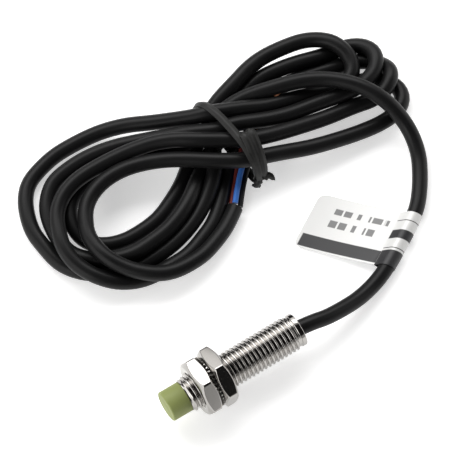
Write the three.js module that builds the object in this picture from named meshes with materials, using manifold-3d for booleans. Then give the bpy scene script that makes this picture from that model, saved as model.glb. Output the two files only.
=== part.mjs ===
// An M8 x 1 cylindrical inductive proximity sensor, with its two nuts, a toothed lock washer
// and its cable wound into a tied figure-eight hank.
// Millimetres, +Z up. The barrel lies along X with its sensing face towards +X.
// The lowest nut corner and the cable rest on Z = 0.

import * as THREE from "three";
import { mergeVertices } from "three/addons/utils/BufferGeometryUtils.js";
import Module from "manifold-3d";

const wasm = await Module();
wasm.setup();

// ---------------------------------------------------------------- driving dimensions

const round_sides = 48; // facets round a turned part
const fine_gap = 0.05; // between nested parts of the coil and between the stacked nuts
const fit_gap = 0.1; // between a part and the bore it goes into
const cut_gap = 0.3; // round anything that is cut out to clear a neighbour

// threaded barrel
const thread_diameter = 7.8;
const thread_pitch = 1;
const thread_depth = 0.6;
const thread_length = 26.5;
const collar_length = 1.4;
const collar_diameter = 7.7;
const barrel_bore = 5.9;

// sensing cap
const cap_diameter = 6.7;
const cap_length = 4.5;
const cap_edge_radius = 0.35;
const cap_face_thickness = 0.7;
const cap_skirt_length = 2.5;
const cap_skirt_wall = 0.45;

// coil and its core
const core_length = 2.6;
const core_groove_depth = 1.8;
const core_post_radius = 0.75;
const core_rim_wall = 0.4;
const bobbin_wall = 0.2;
const winding_inset = 0.15; // from the rim of the bobbin's flanges to the wire

// circuit board
const board_gap = 0.5; // from the back of the core
const wire_room = 4.5; // from the back of the board to the bush
const board_side_clearance = 1.15; // from each edge of the board to the barrel's bore
const board_thickness = 0.8;
const tallest_item = 0.9; // on either side of the board
const potting_end_gap = 0.3;

// rear bush
const bush_length = 4.8;
const bush_recess = 0.2; // of its rear face inside the collar
const bush_front_wall = 0.9;

// nuts and washer
const nut_across_flats = 12;
const nut_thickness = 3.4;
const nut_chamfer = 0.54; // how far the chamfer circle lies inside a corner's radius less the flat's
const nut_clearance = 0.1; // of the bore round the thread crests
const nut_countersink = 0.35;
const front_nut_setback = 6.85; // of its front face from the sensing face
const front_nut_turn = 21.1; // degrees from +Z towards +Y of one corner
const rear_nut_turn = 6.3;
const washer_thickness = 0.5;
const washer_teeth = 36;
const washer_diameter = 11.5;
const washer_tooth_depth = 0.65;

// cable
const cable_diameter = 3.4;
const inner_wire_diameter = 0.9;
const inner_wire_gap = 0.25; // between wires side by side on the board
const wire_circle = 0.75; // radius of the circle that the three wires' centres lie on
const core_wire_diameter = 1.2;
const conductor_diameter = 0.6;
const hank_height = 10.5;
const tie_width = 1.8;
const tie_thickness = 0.9;

// label: a film wrapped round the cable, with its two ends stuck together as a flag
const label_start = 25.5; // along the cable from the collar
const label_width = 13.5; // along the cable
const label_reach = 20.5; // of the flag from the cable's axis
const label_lean = Math.PI / 18; // of the flag towards the sensor
const label_thickness = 0.3;
const label_corner = 1.6;

// ---------------------------------------------------------------- derived sizes

const body_length = cap_length + thread_length + collar_length;
const face_x = body_length / 2;
const corner_radius = nut_across_flats / Math.sqrt(3);
const lowest_corner = Math.min(
  ...[front_nut_turn, rear_nut_turn].map((turn) => -corner_radius * Math.cos(degrees(turn))),
);
const axis_z = -lowest_corner;
const bore_radius = barrel_bore / 2;
const skirt_radius = bore_radius - fit_gap;
const cap_inner_radius = skirt_radius - cap_skirt_wall;
const core_start = cap_face_thickness + fit_gap;
const core_radius = cap_inner_radius - fit_gap;
const core_end = core_start + core_length;
const board_start = core_end + board_gap;
const board_width = barrel_bore - 2 * board_side_clearance;
const wire_spacing = inner_wire_diameter + inner_wire_gap;
const bush_end = body_length - bush_recess;
const bush_start = bush_end - bush_length;
const board_end = bush_start - wire_room;
const jacket_start = bush_start + bush_front_wall + cut_gap;
const jacket_inside = body_length - jacket_start; // length of the cable inside the sensor
const washer_setback = front_nut_setback + nut_thickness + fine_gap;
const rear_nut_setback = washer_setback + washer_thickness + fine_gap;
const nut_bore_radius = thread_diameter / 2 + nut_clearance;

function degrees(angle) {
  return (angle * Math.PI) / 180;
}

// ---------------------------------------------------------------- finishes

const finish = (color, roughness, metalness) =>
  new THREE.MeshStandardMaterial({ color, roughness, metalness });

const nickel = finish(0xc9c6bf, 0.22, 1);
const cap_plastic = finish(0xa2ad72, 0.55, 0);
const ferrite = finish(0x2b2c30, 0.6, 0.1);
const bobbin_plastic = finish(0xe6e2d4, 0.5, 0);
const copper = finish(0xb4653a, 0.35, 1);
const board_green = finish(0x1f6b3b, 0.45, 0);
const chip_black = finish(0x1a1a1c, 0.5, 0);
const ceramic_tan = finish(0xb9986b, 0.5, 0);
const resin = finish(0x20242b, 0.4, 0);
const bush_rubber = finish(0x151515, 0.7, 0);
const jacket_black = finish(0x161616, 0.45, 0);
const wire_brown = finish(0x8a3b2a, 0.45, 0);
const wire_blue = finish(0x3473cf, 0.4, 0);
const wire_black = finish(0x18181a, 0.45, 0);
const tinned_copper = finish(0xc08a62, 0.35, 1);
const tie_black = finish(0x1d1d1d, 0.5, 0);
const label_silver = finish(0xcfd0d0, 0.3, 0.3);

// ---------------------------------------------------------------- geometry helpers

// Only positions, with shared vertices merged and facets of no area dropped.
function closed(geometry) {
  const bare = new THREE.BufferGeometry();
  const loose = geometry.index ? geometry.toNonIndexed() : geometry;
  bare.setAttribute("position", loose.getAttribute("position"));
  const merged = mergeVertices(bare, 1e-4);
  const index = merged.index.array;
  const kept = [];
  for (let i = 0; i < index.length; i += 3) {
    const [a, b, c] = index.slice(i, i + 3);
    if (a !== b && b !== c && c !== a) kept.push(a, b, c);
  }
  merged.setIndex(kept);
  return merged;
}

const to_solid = (geometry) => {
  const merged = closed(geometry);
  return new wasm.Manifold(
    new wasm.Mesh({
      numProp: 3,
      vertProperties: new Float32Array(merged.getAttribute("position").array),
      triVerts: new Uint32Array(merged.index.array),
    }),
  );
};

const to_geometry = (solid) => {
  const mesh = solid.getMesh();
  const geometry = new THREE.BufferGeometry();
  geometry.setAttribute("position", new THREE.BufferAttribute(mesh.vertProperties, 3));
  geometry.setIndex(new THREE.BufferAttribute(mesh.triVerts, 1));
  return geometry;
};

// A part turned about the barrel's axis. The profile's points are [distance behind the sensing
// face, radius], and they run rearwards along the outside.
function turned(profile, sides = round_sides) {
  const points = profile.map(([behind, radius]) => new THREE.Vector2(radius, face_x - behind));
  return new THREE.LatheGeometry(points.reverse(), sides)
    .rotateZ(-Math.PI / 2)
    .translate(0, 0, axis_z);
}

// A plate in the plane across the barrel, from one distance behind the sensing face, rearwards.
function plate_across(shape, behind, thickness) {
  return new THREE.ExtrudeGeometry(shape, { depth: thickness, bevelEnabled: false })
    .rotateY(Math.PI / 2)
    .translate(face_x - behind - thickness, 0, axis_z);
}

// A block on the circuit board: its front end's distance behind the sensing face, its offset
// across the board, and its lowest height above the barrel's axis.
function block(behind, across, above, [length, width, height]) {
  return new THREE.BoxGeometry(length, width, height).translate(
    face_x - behind - length / 2,
    across,
    axis_z + above + height / 2,
  );
}

// A round cord through the points, with an even step along it.
function cord(points, diameter, sides, step) {
  const curve = new THREE.CatmullRomCurve3(
    points.map((point) => new THREE.Vector3(...point)),
    false,
    "centripetal",
  );
  const section = new THREE.Shape();
  for (let i = 0; i < sides; i += 1) {
    const angle = (2 * Math.PI * (i + 0.5)) / sides;
    const [x, y] = [Math.cos(angle) * diameter / 2, Math.sin(angle) * diameter / 2];
    if (i === 0) section.moveTo(x, y);
    else section.lineTo(x, y);
  }
  section.closePath();
  const steps = Math.max(2, Math.round(curve.getLength() / step));
  return new THREE.ExtrudeGeometry(section, { steps, extrudePath: curve, bevelEnabled: false });
}

const part = (name, geometry, material) => {
  const mesh = new THREE.Mesh(closed(geometry), material);
  mesh.name = name;
  return mesh;
};

// ---------------------------------------------------------------- barrel and cap

// Thread crests and roots alternate every half pitch. The real thread is a helix of this profile.
function barrel() {
  const crest = thread_diameter / 2;
  const root = crest - thread_depth;
  const thread_end = cap_length + thread_length;
  const outside = [[cap_length, bore_radius], [cap_length, root]];
  for (let along = thread_pitch / 2; along < thread_length; along += thread_pitch) {
    outside.push([cap_length + along, crest]);
    outside.push([Math.min(cap_length + along + thread_pitch / 2, thread_end), root]);
  }
  outside.push([thread_end, collar_diameter / 2]);
  outside.push([body_length, collar_diameter / 2]);
  outside.push([body_length, bore_radius]);
  outside.push([cap_length, bore_radius]);
  return part("barrel", turned(outside, 32), nickel);
}

// A cup with a rounded front edge, and a thinner skirt that goes into the barrel.
function sensing_cap() {
  const radius = cap_diameter / 2;
  const shoulder = cap_length - fine_gap;
  const skirt_end = cap_length + cap_skirt_length;
  const profile = [[0, 0]];
  for (let i = 0; i <= 4; i += 1) {
    const angle = (i / 4) * (Math.PI / 2);
    profile.push([
      cap_edge_radius * (1 - Math.cos(angle)),
      radius - cap_edge_radius * (1 - Math.sin(angle)),
    ]);
  }
  profile.push([shoulder, radius], [shoulder, skirt_radius], [skirt_end, skirt_radius]);
  profile.push([skirt_end, cap_inner_radius], [cap_face_thickness, cap_inner_radius]);
  profile.push([cap_face_thickness, 0]);
  return part("sensing_cap", turned(profile), cap_plastic);
}

// ---------------------------------------------------------------- coil

function coil_parts() {
  const groove_end = core_start + core_groove_depth;
  const rim_radius = core_radius - core_rim_wall;
  const core = [
    [core_start, 0],
    [core_start, core_post_radius],
    [groove_end, core_post_radius],
    [groove_end, rim_radius],
    [core_start, rim_radius],
    [core_start, core_radius],
    [core_end, core_radius],
    [core_end, 0],
  ];

  const hub = core_post_radius + fine_gap;
  const flange = rim_radius - fine_gap;
  const tube = hub + bobbin_wall;
  const [front, back] = [core_start + fine_gap, groove_end - fine_gap];
  const bobbin = [
    [front, hub],
    [front, flange],
    [front + bobbin_wall, flange],
    [front + bobbin_wall, tube],
    [back - bobbin_wall, tube],
    [back - bobbin_wall, flange],
    [back, flange],
    [back, hub],
    [front, hub],
  ];

  const wire_front = front + bobbin_wall + fine_gap;
  const wire_back = back - bobbin_wall - fine_gap;
  const winding = [
    [wire_front, tube + fine_gap],
    [wire_front, flange - winding_inset],
    [wire_back, flange - winding_inset],
    [wire_back, tube + fine_gap],
    [wire_front, tube + fine_gap],
  ];

  return [
    part("ferrite_core", turned(core, 32), ferrite),
    part("coil_bobbin", turned(bobbin, 32), bobbin_plastic),
    part("coil_winding", turned(winding, 32), copper),
  ];
}

// ---------------------------------------------------------------- circuit board

const top = board_thickness / 2 + fine_gap;

// name, distance behind the board's front end, offset across it, side, [length, width, height]
const board_items = [
  ["tank_capacitor", 2.5, 0, 1, [1.6, 0.8, 0.8], ceramic_tan],
  ["gain_resistor", 5, 0, 1, [1, 0.5, 0.35], chip_black],
  ["control_chip", 7, 0, 1, [3, 2.2, tallest_item], chip_black],
  ["output_transistor", 11.5, 0, 1, [2, 1.3, tallest_item], chip_black],
  ["pull_up_resistor", 5, 0, -1, [1, 0.5, 0.35], chip_black],
  ["reverse_diode", 8.5, 0, -1, [1.7, 1, 0.8], chip_black],
  ["supply_capacitor", 12.5, 0, -1, [2, 1.25, 0.85], ceramic_tan],
];

function board_parts() {
  const parts = board_items.map(([name, along, across, side, size, material]) => {
    const above = side > 0 ? top : -top - size[2];
    return part(name, block(board_start + along, across, above, size), material);
  });
  const board_size = [board_end - board_start, board_width, board_thickness];
  const board = block(board_start, 0, -board_thickness / 2, board_size);
  parts.push(part("circuit_board", board, board_green));
  return parts;
}

// Resin that fills the barrel round the board, from the cap's skirt to the bush.
function potting_resin() {
  const start = cap_length + cap_skirt_length + potting_end_gap;
  const end = bush_start - potting_end_gap;
  const radius = bore_radius - fine_gap;
  const fill = turned([[start, 0], [start, radius], [end, radius], [end, 0]], 32);
  const widest = Math.max(board_width, 2 * wire_spacing + inner_wire_diameter);
  const height = board_thickness + 2 * (tallest_item + fine_gap) + cut_gap;
  const channel_size = [end - start + 2, widest + cut_gap, height];
  const channel = block(start - 1, 0, -height / 2, channel_size);
  return part("potting_resin", to_geometry(to_solid(fill).subtract(to_solid(channel))), resin);
}

// ---------------------------------------------------------------- rear bush and inner wires

// Each wire's place in the cable, as an angle round it, and its landing place across the board.
const wires = [
  ["brown", 90, 0, wire_brown],
  ["blue", 210, -wire_spacing, wire_blue],
  ["black", 330, wire_spacing, wire_black],
];

function rear_bush() {
  const jacket_bore = cable_diameter / 2 + fit_gap;
  const wire_bore = wire_circle + inner_wire_diameter / 2 + fit_gap;
  const shelf = bush_start + bush_front_wall;
  const profile = [
    [bush_start, wire_bore],
    [bush_start, bore_radius - fine_gap],
    [bush_end, bore_radius - fine_gap],
    [bush_end, jacket_bore],
    [shelf, jacket_bore],
    [shelf, wire_bore],
    [bush_start, wire_bore],
  ];
  return part("rear_bush", turned(profile), bush_rubber);
}

function inner_wires() {
  const landing_height = board_thickness / 2 + inner_wire_diameter / 2 + fine_gap;
  return wires.map(([colour, angle, across, material]) => {
    const y = wire_circle * Math.cos(degrees(angle));
    const z = wire_circle * Math.sin(degrees(angle));
    const route = [
      [jacket_start - cut_gap, y, z],
      [bush_start, y, z],
      [bush_start - 2, across, landing_height],
      [board_end - 2, across, landing_height],
    ].map(([behind, side, above]) => [face_x - behind, side, axis_z + above]);
    return part(`inner_wire_${colour}`, cord(route, inner_wire_diameter, 8, 0.8), material);
  });
}

// ---------------------------------------------------------------- nuts and lock washer

function nut(name, setback, turn) {
  const flats = new THREE.Shape();
  for (let i = 0; i < 6; i += 1) {
    const angle = degrees(60 * i - turn);
    // the plate's own x axis becomes -Z, and its y axis stays +Y
    const [x, y] = [-corner_radius * Math.cos(angle), -corner_radius * Math.sin(angle)];
    if (i === 0) flats.moveTo(x, y);
    else flats.lineTo(x, y);
  }
  flats.closePath();
  const blank = to_solid(plate_across(flats, setback, nut_thickness));

  const back = setback + nut_thickness;
  const chamfer_circle = nut_across_flats / 2 - nut_chamfer * (corner_radius - nut_across_flats / 2);
  const overhang = corner_radius - chamfer_circle + 0.5;
  const slope = Math.tan(degrees(30));
  const chamfers = turned([
    [setback, 0],
    [setback, chamfer_circle],
    [setback + overhang * slope, chamfer_circle + overhang],
    [back - overhang * slope, chamfer_circle + overhang],
    [back, chamfer_circle],
    [back, 0],
  ]);
  const mouth = nut_bore_radius + nut_countersink;
  const bore = turned([
    [setback - 1, 0],
    [setback - 1, mouth + 1],
    [setback + nut_countersink, nut_bore_radius],
    [back - nut_countersink, nut_bore_radius],
    [back + 1, mouth + 1],
    [back + 1, 0],
  ]);
  const cut = blank.intersect(to_solid(chamfers)).subtract(to_solid(bore));
  return part(name, to_geometry(cut), nickel);
}

function lock_washer() {
  const rim = new THREE.Shape();
  const tip = washer_diameter / 2;
  for (let i = 0; i < 2 * washer_teeth; i += 1) {
    const radius = i % 2 === 0 ? tip : tip - washer_tooth_depth;
    const angle = (i * Math.PI) / washer_teeth;
    const [x, y] = [radius * Math.cos(angle), radius * Math.sin(angle)];
    if (i === 0) rim.moveTo(x, y);
    else rim.lineTo(x, y);
  }
  rim.closePath();
  const hole = new THREE.Path();
  hole.absarc(0, 0, nut_bore_radius, 0, 2 * Math.PI, true);
  rim.holes.push(hole);
  const depth = washer_thickness;
  const plate = new THREE.ExtrudeGeometry(rim, { depth, bevelEnabled: false, curveSegments: 24 })
    .rotateY(Math.PI / 2)
    .translate(face_x - washer_setback - depth, 0, axis_z);
  return part("lock_washer", plate, nickel);
}

// ---------------------------------------------------------------- cable

// The cable's uncoiled stretch, from the jacket's end inside the bush to the hank.
const exit_x = -body_length / 2;
const cable_route = [
  [face_x - jacket_start, 0, axis_z],
  [exit_x, 0, axis_z],
  [-19.6, 0.3, 6.6],
  [-23, 0.6, 5.7],
  [-27, 0.4, 4.5],
  [-31, -0.1, 3.3],
  [-35, -1.1, 2.4],
  [-38.7, -2.4, 2.1],
  [-42.4, -4.3, 2],
  [-46.5, -6.7, 2],
  [-50.3, -9, 2],
  [-53.6, -11.4, 1.9],
  [-56.3, -14.4, 1.75],
  [-58.7, -17.8, 1.75],
  [-60.6, -21.2, 2],
  [-61.6, -24.6, 2.8],
  [-61.8, -27.6, 4],
];

function cable_run() {
  return part("cable_run", cord(cable_route, cable_diameter, 8, 4), jacket_black);
}

// The stretch of the cable between two distances from the collar, as points.
function stretch(from, to) {
  const curve = new THREE.CatmullRomCurve3(
    cable_route.map((point) => new THREE.Vector3(...point)),
    false,
    "centripetal",
  );
  const points = [];
  for (let i = 0; i <= 8; i += 1) {
    const along = jacket_inside + from + ((to - from) * i) / 8;
    points.push(curve.getPointAt(along / curve.getLength()).toArray());
  }
  return points;
}

function cable_label() {
  const film = fit_gap + label_thickness / 2; // from the jacket to the outside of the wrap
  const [from, to] = [label_start, label_start + label_width];
  const wrap = to_solid(cord(stretch(from, to), cable_diameter + 2 * film, 12, 2));
  const hollow = to_solid(cord(stretch(from - 2, to + 2), cable_diameter + 2 * fit_gap, 12, 2));

  const corner = label_corner;
  const [half, reach] = [label_width / 2, label_reach];
  const flag = new THREE.Shape();
  flag.moveTo(-half, 0);
  flag.lineTo(half, 0);
  flag.lineTo(half, reach - corner);
  flag.absarc(half - corner, reach - corner, corner, 0, Math.PI / 2, false);
  flag.absarc(corner - half, reach - corner, corner, Math.PI / 2, Math.PI, false);
  flag.closePath();
  const sheet = new THREE.ExtrudeGeometry(flag, {
    depth: label_thickness,
    bevelEnabled: false,
    curveSegments: 4,
  });

  // the flag leaves the cable's side away from the barrel, and its free end dips to the surface
  const [start, end] = [stretch(from, to)[0], stretch(from, to)[8]];
  const along = new THREE.Vector3().subVectors(
    new THREE.Vector3(...start),
    new THREE.Vector3(...end),
  );
  const middle = new THREE.Vector3(...start).addScaledVector(along, -0.5);
  along.setZ(0).normalize();
  const level = new THREE.Vector3(along.y, -along.x, 0);
  const dip = Math.asin((middle.z - 2 * label_thickness) / label_reach);
  const leaning = level.multiplyScalar(Math.cos(label_lean)).addScaledVector(along, Math.sin(label_lean));
  const away = leaning.multiplyScalar(Math.cos(dip)).setZ(-Math.sin(dip));
  const up = new THREE.Vector3().crossVectors(along, away);
  const place = new THREE.Matrix4().makeBasis(along, away, up).setPosition(middle);
  const solid = wrap.add(to_solid(sheet.applyMatrix4(place))).subtract(hollow);
  return part("cable_label", to_geometry(solid), label_silver);
}

// The hank's outline from above, near side first, anticlockwise from the sensor's side.
const hank_outline = [
  [-60, -29.4],
  [-66.6, -34.5],
  [-68.3, -41.5],
  [-66.5, -49],
  [-59, -56],
  [-50, -58.2],
  [-39, -56.4],
  [-28, -53.6],
  [-16, -58],
  [-5, -64],
  [5, -65],
  [14, -61.5],
  [19.6, -54],
  [19.8, -45],
  [15, -34],
  [7, -26.5],
  [-4, -23.8],
  [-13, -24.5],
  [-20, -29],
  [-25.5, -35.5],
  [-32, -37.5],
  [-43, -34],
  [-52, -31],
];
// The jacket ends in a notch beside the waist, and its three wires go on under the upper strands.
const jacket_end = [-21, -31.6];
const core_heading = [-0.61, -0.79];
const notch_length = 5;
const notch_width = 4.6;
const stripped_length = 5; // of bare conductor at each wire's end
const core_routes = {
  brown: [
    [-21, -31.6, 2.7],
    [-24.6, -35.4, 3.2],
    [-28.4, -39.4, 4.6],
    [-33.6, -43.2, 7],
    [-38.5, -46, 9],
    [-43.2, -47.6, 9.6],
  ],
  blue: [
    [-20.4, -32.1, 1.3],
    [-23.6, -36.8, 1.8],
    [-27.4, -41, 2.2],
    [-32.4, -44.4, 2.2],
    [-38.6, -47.2, 2.2],
  ],
  black: [
    [-21.7, -31.1, 1.2],
    [-25.2, -35.2, 1.7],
    [-29.4, -39.4, 2.1],
    [-34, -43, 1.6],
    [-39.6, -45.4, 1.2],
  ],
};

const waist_x = -28; // where the tie goes round
const waist_near_y = -35.2;
const waist_far_y = -54.4;

function cable_hank() {
  const outline = new THREE.Shape();
  const points = hank_outline.map(([x, y]) => new THREE.Vector3(x, y, 0));
  const loop = new THREE.CatmullRomCurve3(points, true, "centripetal");
  loop.getPoints(72).slice(0, -1).forEach(({ x, y }, i) => {
    if (i === 0) outline.moveTo(x, y);
    else outline.lineTo(x, y);
  });
  outline.closePath();
  const body = new THREE.ExtrudeGeometry(outline, {
    depth: hank_height,
    bevelEnabled: false,
  });
  // the tie passes under, over and beside the waist
  const reach = 40;
  const slot_width = tie_width + 2 * cut_gap;
  const [near, far] = [waist_near_y, waist_far_y];
  const slot_height = tie_thickness + cut_gap;
  const slot = new THREE.BoxGeometry(slot_width, reach, 2 * slot_height)
    .translate(waist_x, (near + far) / 2, 0);
  const beside_near = new THREE.BoxGeometry(slot_width, reach, reach)
    .translate(waist_x, near - cut_gap - tie_thickness + reach / 2, 0);
  const beside_far = new THREE.BoxGeometry(slot_width, reach, reach)
    .translate(waist_x, far + cut_gap + tie_thickness - reach / 2, 0);
  const notch = new THREE.BoxGeometry(notch_length, notch_width, reach)
    .translate(notch_length / 2, 0, 0)
    .rotateZ(Math.atan2(core_heading[1], core_heading[0]))
    .translate(jacket_end[0], jacket_end[1], 0);
  const tunnels = wires.map(([colour]) =>
    cord(core_routes[colour], core_wire_diameter + 2 * cut_gap, 8, 2),
  );
  let solid = to_solid(body);
  for (const cut of [slot, beside_near, beside_far, notch, ...tunnels]) {
    solid = solid.subtract(to_solid(cut));
  }
  return part("cable_hank", to_geometry(solid), jacket_black);
}

// The three wires beyond the jacket's end, each with its stripped conductor.
function cut_end() {
  return wires.flatMap(([colour, , , material]) => {
    const points = core_routes[colour].map((point) => new THREE.Vector3(...point));
    const curve = new THREE.CatmullRomCurve3(points, false, "centripetal");
    const length = curve.getLength();
    const piece = (from, to) =>
      [0, 1, 2, 3, 4, 5, 6].map((i) =>
        curve.getPointAt((from + ((to - from) * i) / 6) / length).toArray(),
      );
    const bare_from = length - stripped_length;
    const insulated = piece(2 * cut_gap, bare_from - cut_gap);
    const bare = piece(bare_from, length - cut_gap);
    return [
      part(`core_${colour}`, cord(insulated, core_wire_diameter, 8, 3), material),
      part(`conductor_${colour}`, cord(bare, conductor_diameter, 8, 3), tinned_copper),
    ];
  });
}

// A flat-wire tie: one ring round the waist of the hank.
function twist_tie() {
  const top_z = hank_height + cut_gap + tie_thickness;
  const ring = new THREE.Shape();
  ring.moveTo(waist_near_y, 0);
  ring.lineTo(waist_near_y, top_z);
  ring.lineTo(waist_far_y, top_z);
  ring.lineTo(waist_far_y, 0);
  ring.closePath();
  const [near, far] = [waist_near_y - tie_thickness, waist_far_y + tie_thickness];
  const inside = new THREE.Path();
  inside.moveTo(near, tie_thickness);
  inside.lineTo(far, tie_thickness);
  inside.lineTo(far, top_z - tie_thickness);
  inside.lineTo(near, top_z - tie_thickness);
  inside.closePath();
  ring.holes.push(inside);
  const band = new THREE.ExtrudeGeometry(ring, { depth: tie_width, bevelEnabled: false });
  // the shape's x axis becomes Y, its y axis Z, and the depth X
  const place = new THREE.Matrix4()
    .makeBasis(new THREE.Vector3(0, 1, 0), new THREE.Vector3(0, 0, 1), new THREE.Vector3(1, 0, 0))
    .setPosition(waist_x - tie_width / 2, 0, 0);
  return part("twist_tie", band.applyMatrix4(place), tie_black);
}

export default new THREE.Group().add(
  barrel(),
  sensing_cap(),
  ...coil_parts(),
  ...board_parts(),
  potting_resin(),
  rear_bush(),
  ...inner_wires(),
  nut("front_nut", front_nut_setback, front_nut_turn),
  lock_washer(),
  nut("rear_nut", rear_nut_setback, rear_nut_turn),
  cable_run(),
  cable_label(),
  cable_hank(),
  ...cut_end(),
  twist_tie(),
);
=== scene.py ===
# %% [markdown]
# # A cylindrical proximity sensor with its nuts and its tied cable
#
# The sensor is a threaded, nickel-plated barrel with a plastic cap over its coil. Two hexagon nuts
# and a toothed lock washer clamp it in a panel. Its cable leaves at the back, runs along the table
# and ends in a figure-eight hank held by a wire tie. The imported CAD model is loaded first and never
# moved. Every piece made here lies round it, in metres, with +X from the cable end to the sensing
# face and +Z up.

# %% The frame, and the units used below
from math import asin, ceil, cos, pi, radians, sin, sqrt, tan

import bmesh
import bpy
import numpy as np
from mathutils import Matrix, Vector


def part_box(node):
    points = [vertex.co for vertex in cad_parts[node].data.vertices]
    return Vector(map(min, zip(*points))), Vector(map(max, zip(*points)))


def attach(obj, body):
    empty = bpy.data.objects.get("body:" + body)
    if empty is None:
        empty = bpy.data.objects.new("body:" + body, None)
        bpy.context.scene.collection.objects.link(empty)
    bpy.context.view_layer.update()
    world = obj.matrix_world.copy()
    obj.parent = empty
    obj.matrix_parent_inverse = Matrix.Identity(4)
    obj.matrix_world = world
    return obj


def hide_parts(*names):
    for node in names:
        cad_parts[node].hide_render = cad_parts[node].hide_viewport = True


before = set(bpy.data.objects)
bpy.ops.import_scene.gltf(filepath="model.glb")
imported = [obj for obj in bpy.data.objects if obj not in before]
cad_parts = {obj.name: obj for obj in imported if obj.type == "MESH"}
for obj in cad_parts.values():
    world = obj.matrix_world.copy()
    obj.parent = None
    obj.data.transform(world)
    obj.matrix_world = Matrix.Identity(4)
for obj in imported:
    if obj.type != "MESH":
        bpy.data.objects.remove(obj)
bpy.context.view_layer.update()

MM = 0.001


def corners(node):
    """A CAD node's lowest and highest corners, in millimetres."""
    low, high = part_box(node)
    return np.array(low) / MM, np.array(high) / MM


cap_low, cap_high = corners("sensing_cap")
barrel_low, barrel_high = corners("barrel")
face_x = cap_high[0]
rear_x = barrel_low[0]
axis_z = (barrel_low[2] + barrel_high[2]) / 2
print(f"sensing face at x = {face_x:.2f} mm, rear end at {rear_x:.2f} mm")
print(f"axis {axis_z:.2f} mm above the table")

# %% [markdown]
# ## The camera
#
# A long lens looks down from well above, so that the barrel and the nuts hardly taper. The camera
# is set first, because where a cord may lie depends on what the camera sees. Its place and its aim
# are two points on the line of sight.

# %% Camera
camera_place = Vector((159.57, 248.14, 751.07)) * MM
camera_aim = Vector((-16.87, -28.29, 4.0)) * MM

camera = bpy.data.objects.new("camera", bpy.data.cameras.new("camera"))
camera.data.sensor_width = 36
camera.data.lens = 306.4
camera.location = camera_place
camera.rotation_euler = (camera_aim - camera_place).to_track_quat("-Z", "Y").to_euler()
bpy.context.collection.objects.link(camera)
bpy.context.scene.camera = camera
bpy.context.scene.view_settings.view_transform = "Standard"
print(f"camera {(camera_place - camera_aim).length * 1000:.0f} mm from the middle of the object")

# %% [markdown]
# ## Writing node trees as sums
#
# A finish is a small graph of nodes. Wired one by one it is long to read, so two helpers keep it
# short. `Tree.add` makes any node from its type, its settings and what goes into its sockets.
# `Field` wraps an output, so that `1 - mask * 0.3` adds the Math nodes by itself. The same two
# serve for materials and for Geometry Nodes.


# %% Node helpers
class Field:
    """An output socket. Arithmetic on it adds Math nodes to its tree."""

    def __init__(self, tree, socket):
        self.tree, self.socket = tree, socket

    def math(self, operation, *others, clamp=False):
        values = dict(enumerate([self, *others]))
        return self.tree.add("ShaderNodeMath", values, operation=operation, use_clamp=clamp)[0]

    def __add__(self, other):
        return self.math("ADD", other)

    __radd__ = __add__

    def __sub__(self, other):
        return self.math("SUBTRACT", other)

    def __rsub__(self, other):
        return (self * -1) + other

    def __mul__(self, other):
        return self.math("MULTIPLY", other)

    __rmul__ = __mul__

    def __truediv__(self, other):
        return self.math("DIVIDE", other)

    def __mod__(self, other):
        return self.math("FLOORED_MODULO", other)

    def above(self, edge, softness):
        """0 below the edge and 1 above it, with a soft step of that width."""
        return ((self - edge) / softness + 0.5).math("ADD", 0, clamp=True)

    def between(self, low, high, softness):
        return self.above(low, softness) * (1 - self.above(high, softness))


class Node:
    """A node whose outputs are Fields, by name or by number."""

    def __init__(self, tree, node):
        self.tree, self.node = tree, node

    def __getitem__(self, key):
        return Field(self.tree, self.node.outputs[key])


class Tree:
    """A node tree that nodes are added to by type, settings and socket values."""

    def __init__(self, tree):
        self.tree = tree

    def add(self, kind, values=None, **settings):
        node = self.tree.nodes.new(kind)
        for key, setting in settings.items():
            setattr(node, key, setting)
        for key, value in (values or {}).items():
            if isinstance(value, Field):
                self.tree.links.new(value.socket, node.inputs[key])
            else:
                node.inputs[key].default_value = value
        return Node(self, node)

    def stored(self, geometry, name, value):
        """The geometry, with a named number kept on each of its points."""
        values = {"Geometry": geometry, "Name": name, "Value": value}
        kind = "GeometryNodeStoreNamedAttribute"
        return self.add(kind, values, data_type="FLOAT", domain="POINT")[0]


class Finish(Tree):
    """A material with one Principled shader, and the textures that finishes here share."""

    def __init__(self, name, **constants):
        self.material = bpy.data.materials.new(name)
        self.material.use_nodes = True
        super().__init__(self.material.node_tree)
        self.tree.nodes.clear()
        self.shader = self.add("ShaderNodeBsdfPrincipled", constants)
        self.add("ShaderNodeOutputMaterial", {"Surface": self.shader[0]})
        self.coords = self.add("ShaderNodeTexCoord")["Object"]

    def place(self, scale):
        return self.add("ShaderNodeMapping", {"Vector": self.coords, "Scale": scale})[0]

    def noise(self, scale, detail=2.0, coords=None):
        values = {"Vector": coords or self.coords, "Scale": scale, "Detail": detail}
        return self.add("ShaderNodeTexNoise", values)[0]

    def attribute(self, name):
        return self.add("ShaderNodeAttribute", attribute_name=name)["Fac"]

    def mix(self, factor, low, high):
        """A colour between two colours."""
        values = {0: factor, 6: low, 7: high}
        return self.add("ShaderNodeMix", values, data_type="RGBA")[2]

    def bump(self, height, distance, strength=1.0):
        values = {"Height": height, "Distance": distance, "Strength": strength}
        self.feed("Normal", self.add("ShaderNodeBump", values)[0])

    def feed(self, socket, value):
        self.tree.links.new(value.socket, self.shader.node.inputs[socket])


def rgb(red, green, blue):
    return (red, green, blue, 1)


# %% [markdown]
# ## Making and finishing pieces
#
# A piece is a mesh whose object stays at the origin. Its shape is in its vertices, as it is in a
# CAD node, so patterns on Object coordinates stay put. A piece made by modifiers is evaluated
# once, and the result becomes its plain mesh.


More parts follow.
